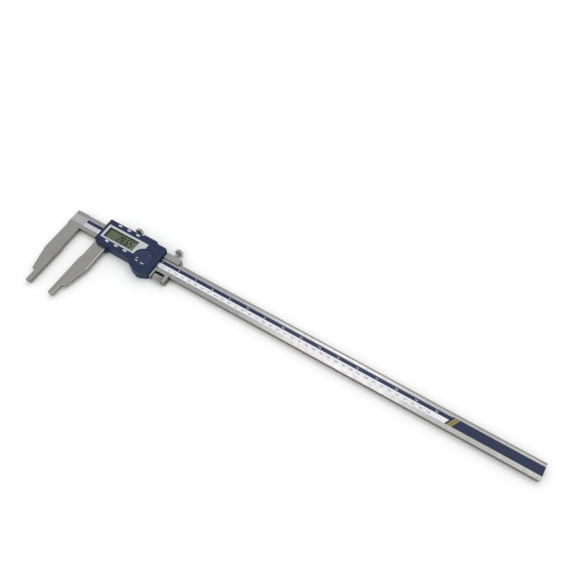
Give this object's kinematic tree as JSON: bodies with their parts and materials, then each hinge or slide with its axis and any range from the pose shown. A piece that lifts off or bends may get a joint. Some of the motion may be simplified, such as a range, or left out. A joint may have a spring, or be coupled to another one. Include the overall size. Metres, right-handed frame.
{
  "type": "digital caliper",
  "caption": "Digital caliper lying on its back: steel beam with printed scale, two long measuring jaws, display housing with keys, and a fine-feed carriage",
  "frame": {"origin": "on the flat back of the beam, on its centre line, level with the fixed jaw's measuring face", "axes": "+X along the beam towards its free end, +Y across the beam away from the jaws, +Z out of the display"},
  "size_m": [0.6538, 0.1362, 0.0153],
  "materials": {
    "satin_steel": "satin, fine grinding lines along the beam",
    "bright_steel": "bright turned and knurled",
    "screw_steel": "plain zinc finish",
    "brass": "plain",
    "navy_plastic": "fine textured dark blue moulding",
    "silver_trim": "silver-white painted trim",
    "clear_window": "clear polished window",
    "display_glass": "grey-green liquid crystal display",
    "black_plastic": "matte black",
    "grey_keys": "light grey soft-touch keys",
    "soft_rubber": "black rubber",
    "board_green": "green circuit board lacquer",
    "scale_print": "printed scale film, dark blue band above a white band"
  },
  "bodies": {
    "beam": {"beam": "satin_steel", "fixed_jaw": "satin_steel", "jaw_pins": "satin_steel", "scale_strip": "board_green", "scale_label": "scale_print", "end_stop": "satin_steel", "end_stop_screws": "screw_steel"},
    "slider": {"slider_frame": "satin_steel", "back_plate": "satin_steel", "back_plate_screws": "screw_steel", "cover_screws": "screw_steel", "gib_strip": "brass", "gib_screws": "screw_steel", "feed_rod": "screw_steel", "front_cover": "navy_plastic", "bezel": "silver_trim", "display_window": "clear_window", "lcd_glass": "display_glass", "lcd_frame": "black_plastic", "lcd_connectors": "soft_rubber", "circuit_board": "board_green", "controller_chip": "black_plastic", "key_domes": "screw_steel", "coin_cell": "screw_steel", "battery_holder": "black_plastic", "contact_positive": "brass", "contact_negative": "brass"},
    "carriage": {"carriage_frame": "satin_steel"},
    "thumb_nut": {"thumb_nut": "bright_steel"},
    "slider_lock_pad": {"slider_lock_pad": "brass"},
    "slider_lock_screw": {"slider_lock_screw": "bright_steel"},
    "carriage_lock_pad": {"carriage_lock_pad": "brass"},
    "carriage_lock_screw": {"carriage_lock_screw": "bright_steel"},
    "battery_cover": {"battery_cover": "navy_plastic", "battery_seal": "soft_rubber"},
    "button_top_left": {"button_top_left": "grey_keys"},
    "button_top_middle": {"button_top_middle": "grey_keys"},
    "button_top_right": {"button_top_right": "grey_keys"},
    "button_bottom_left": {"button_bottom_left": "grey_keys"},
    "button_bottom_middle": {"button_bottom_middle": "grey_keys"},
    "button_bottom_right": {"button_bottom_right": "grey_keys"}
  },
  "joints": [
    {"name": "slider_slide", "type": "slide", "parent": "beam", "child": "slider", "axis": [1, 0, 0], "range_m": [-0.02865, 0.47135]},
    {"name": "carriage_feed", "type": "slide", "parent": "slider", "child": "carriage", "axis": [1, 0, 0], "range_m": [-0.0007, 0.006]},
    {"name": "thumb_nut_turn", "type": "hinge", "parent": "carriage", "child": "thumb_nut", "pos_m": [0.13105, -0.0189, 0.003], "axis": [1, 0, 0], "range_deg": [-504.5, 4320.5]},
    {"name": "slider_lock_feed", "type": "slide", "parent": "slider", "child": "slider_lock_pad", "axis": [0, 1, 0], "range_m": [-0.0001, 0.001]},
    {"name": "slider_lock_turn", "type": "hinge", "parent": "slider_lock_pad", "child": "slider_lock_screw", "pos_m": [0.068, 0.02, 0.0029], "axis": [0, 1, 0], "range_deg": [-72.5, 720.5]},
    {"name": "carriage_lock_feed", "type": "slide", "parent": "carriage", "child": "carriage_lock_pad", "axis": [0, 1, 0], "range_m": [-0.0001, 0.001]},
    {"name": "carriage_lock_turn", "type": "hinge", "parent": "carriage_lock_pad", "child": "carriage_lock_screw", "pos_m": [0.131, 0.02, 0.0029], "axis": [0, 1, 0], "range_deg": [-72.5, 720.5]},
    {"name": "battery_cover_turn", "type": "hinge", "parent": "slider", "child": "battery_cover", "pos_m": [0.1002, -0.0079, 0.0115], "axis": [0, 0, 1], "range_deg": [0, 45]},
    {"name": "button_top_left_press", "type": "slide", "parent": "slider", "child": "button_top_left", "axis": [0, 0, 1], "range_m": [-0.0006, 0], "stiffness_N_per_m": 1500, "springref_m": 0.0002},
    {"name": "button_top_middle_press", "type": "slide", "parent": "slider", "child": "button_top_middle", "axis": [0, 0, 1], "range_m": [-0.0006, 0], "stiffness_N_per_m": 1500, "springref_m": 0.0002},
    {"name": "button_top_right_press", "type": "slide", "parent": "slider", "child": "button_top_right", "axis": [0, 0, 1], "range_m": [-0.0006, 0], "stiffness_N_per_m": 1500, "springref_m": 0.0002},
    {"name": "button_bottom_left_press", "type": "slide", "parent": "slider", "child": "button_bottom_left", "axis": [0, 0, 1], "range_m": [-0.0006, 0], "stiffness_N_per_m": 1500, "springref_m": 0.0002},
    {"name": "button_bottom_middle_press", "type": "slide", "parent": "slider", "child": "button_bottom_middle", "axis": [0, 0, 1], "range_m": [-0.0006, 0], "stiffness_N_per_m": 1500, "springref_m": 0.0002},
    {"name": "button_bottom_right_press", "type": "slide", "parent": "slider", "child": "button_bottom_right", "axis": [0, 0, 1], "range_m": [-0.0006, 0], "stiffness_N_per_m": 1500, "springref_m": 0.0002}
  ],
  "couplings": [
    {"joint": "thumb_nut_turn", "follows": "carriage_feed", "rad_per_m": 12566},
    {"joint": "slider_lock_turn", "follows": "slider_lock_feed", "rad_per_m": 12566},
    {"joint": "carriage_lock_turn", "follows": "carriage_lock_feed", "rad_per_m": 12566}
  ]
}
